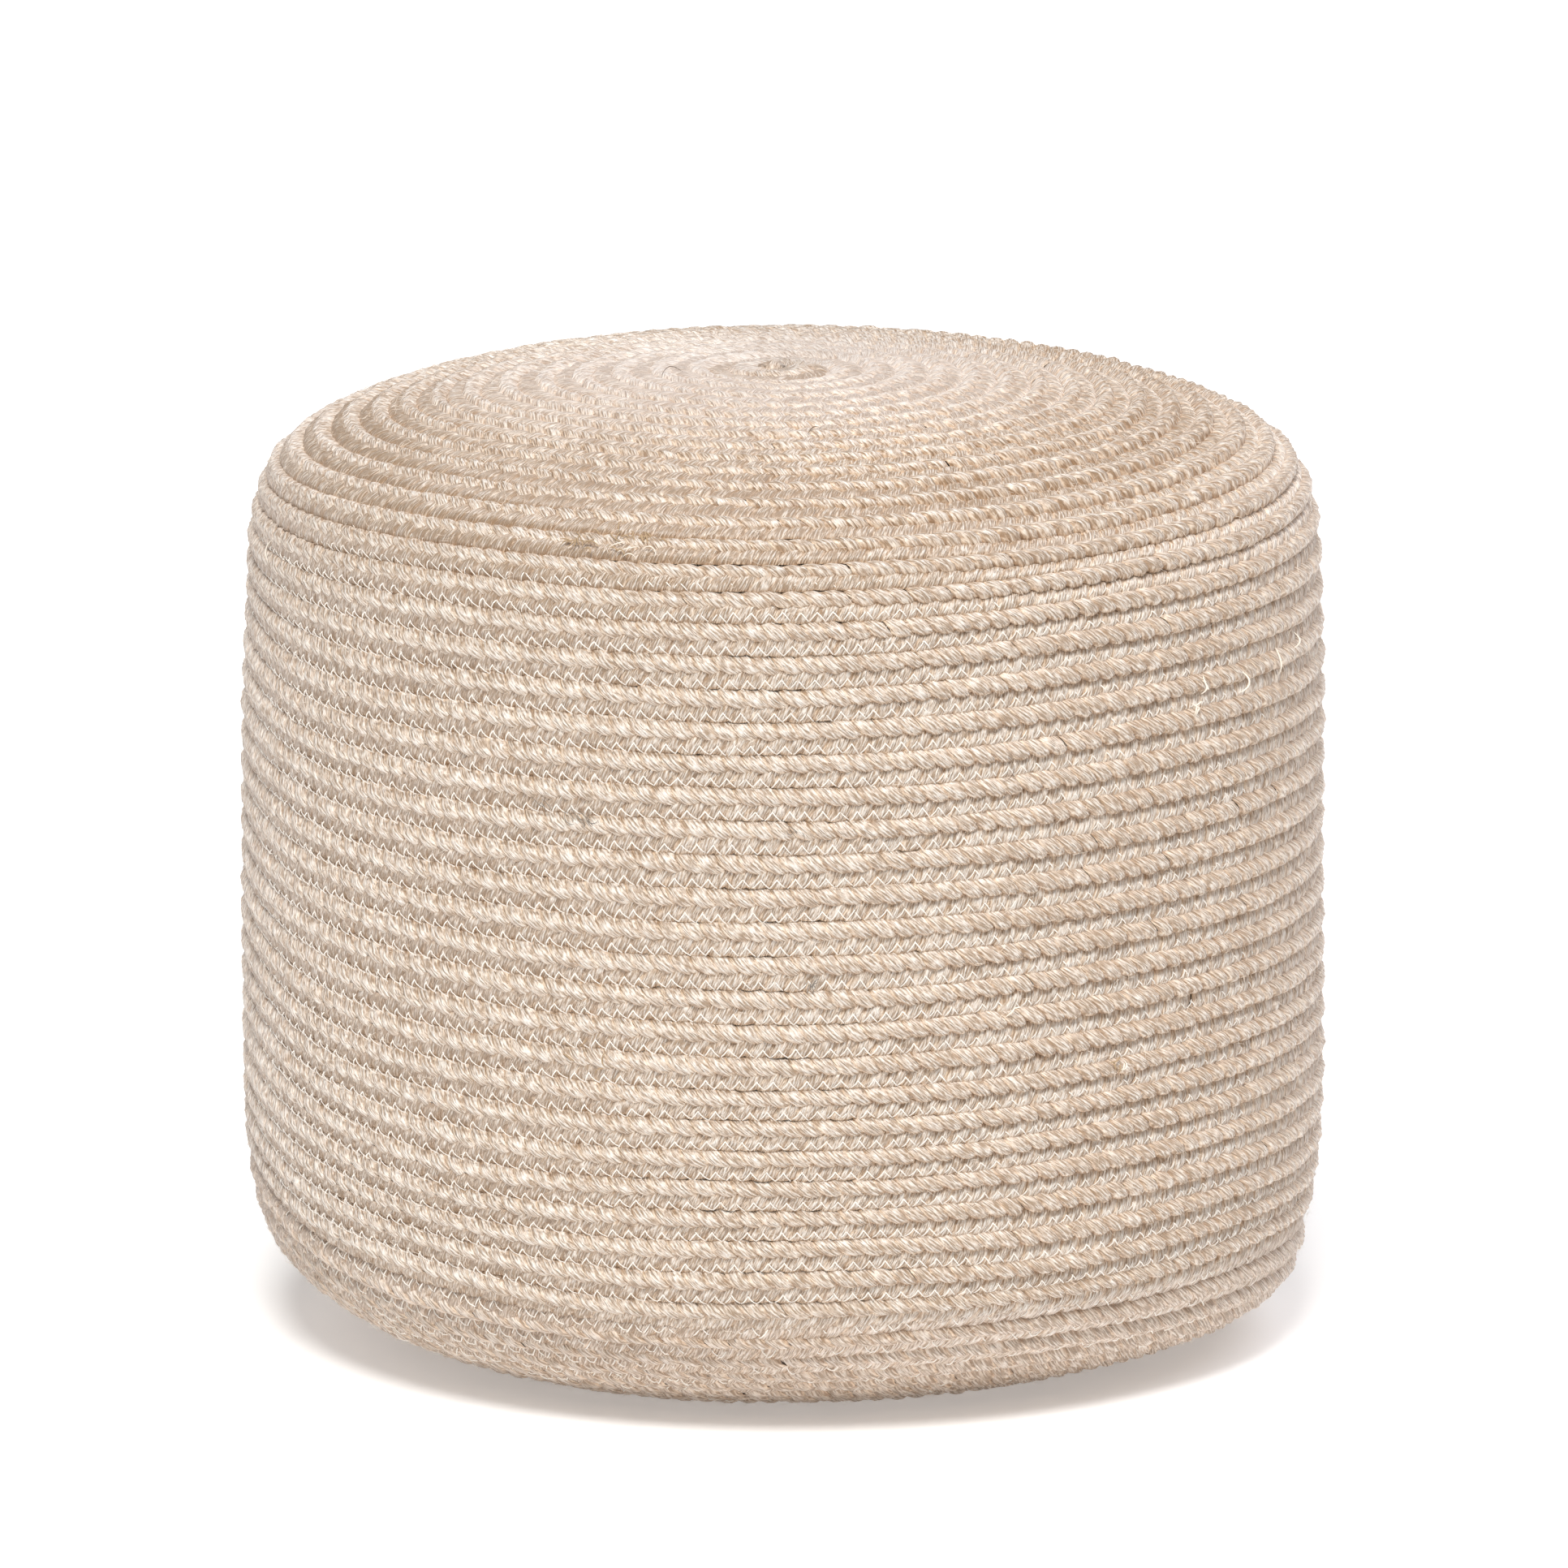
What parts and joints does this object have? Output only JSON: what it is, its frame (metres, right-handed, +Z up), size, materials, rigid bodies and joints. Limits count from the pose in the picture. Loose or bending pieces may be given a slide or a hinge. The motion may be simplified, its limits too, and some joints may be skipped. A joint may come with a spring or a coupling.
{
  "type": "braided pouf",
  "caption": "Round stuffed floor pouf of coiled flat braid with a domed top, upright sides and a coiled base panel.",
  "frame": {"origin": "Centre of the base on the surface that the pouf stands on.", "axes": "+Z is up. The front, which the main view shows, faces -Y, and +X is to the viewer's right."},
  "size_m": [0.4557, 0.457, 0.4107],
  "materials": {
    "natural_braid": "thick undyed cream yarn in a flat braid, matte with a soft sheen along its fibres",
    "base_braid": "the same undyed braid on the base, a little greyer and more matte"
  },
  "bodies": {
    "root": {"coiled_body": "natural_braid", "base_panel": "base_braid"}
  },
  "joints": []
}
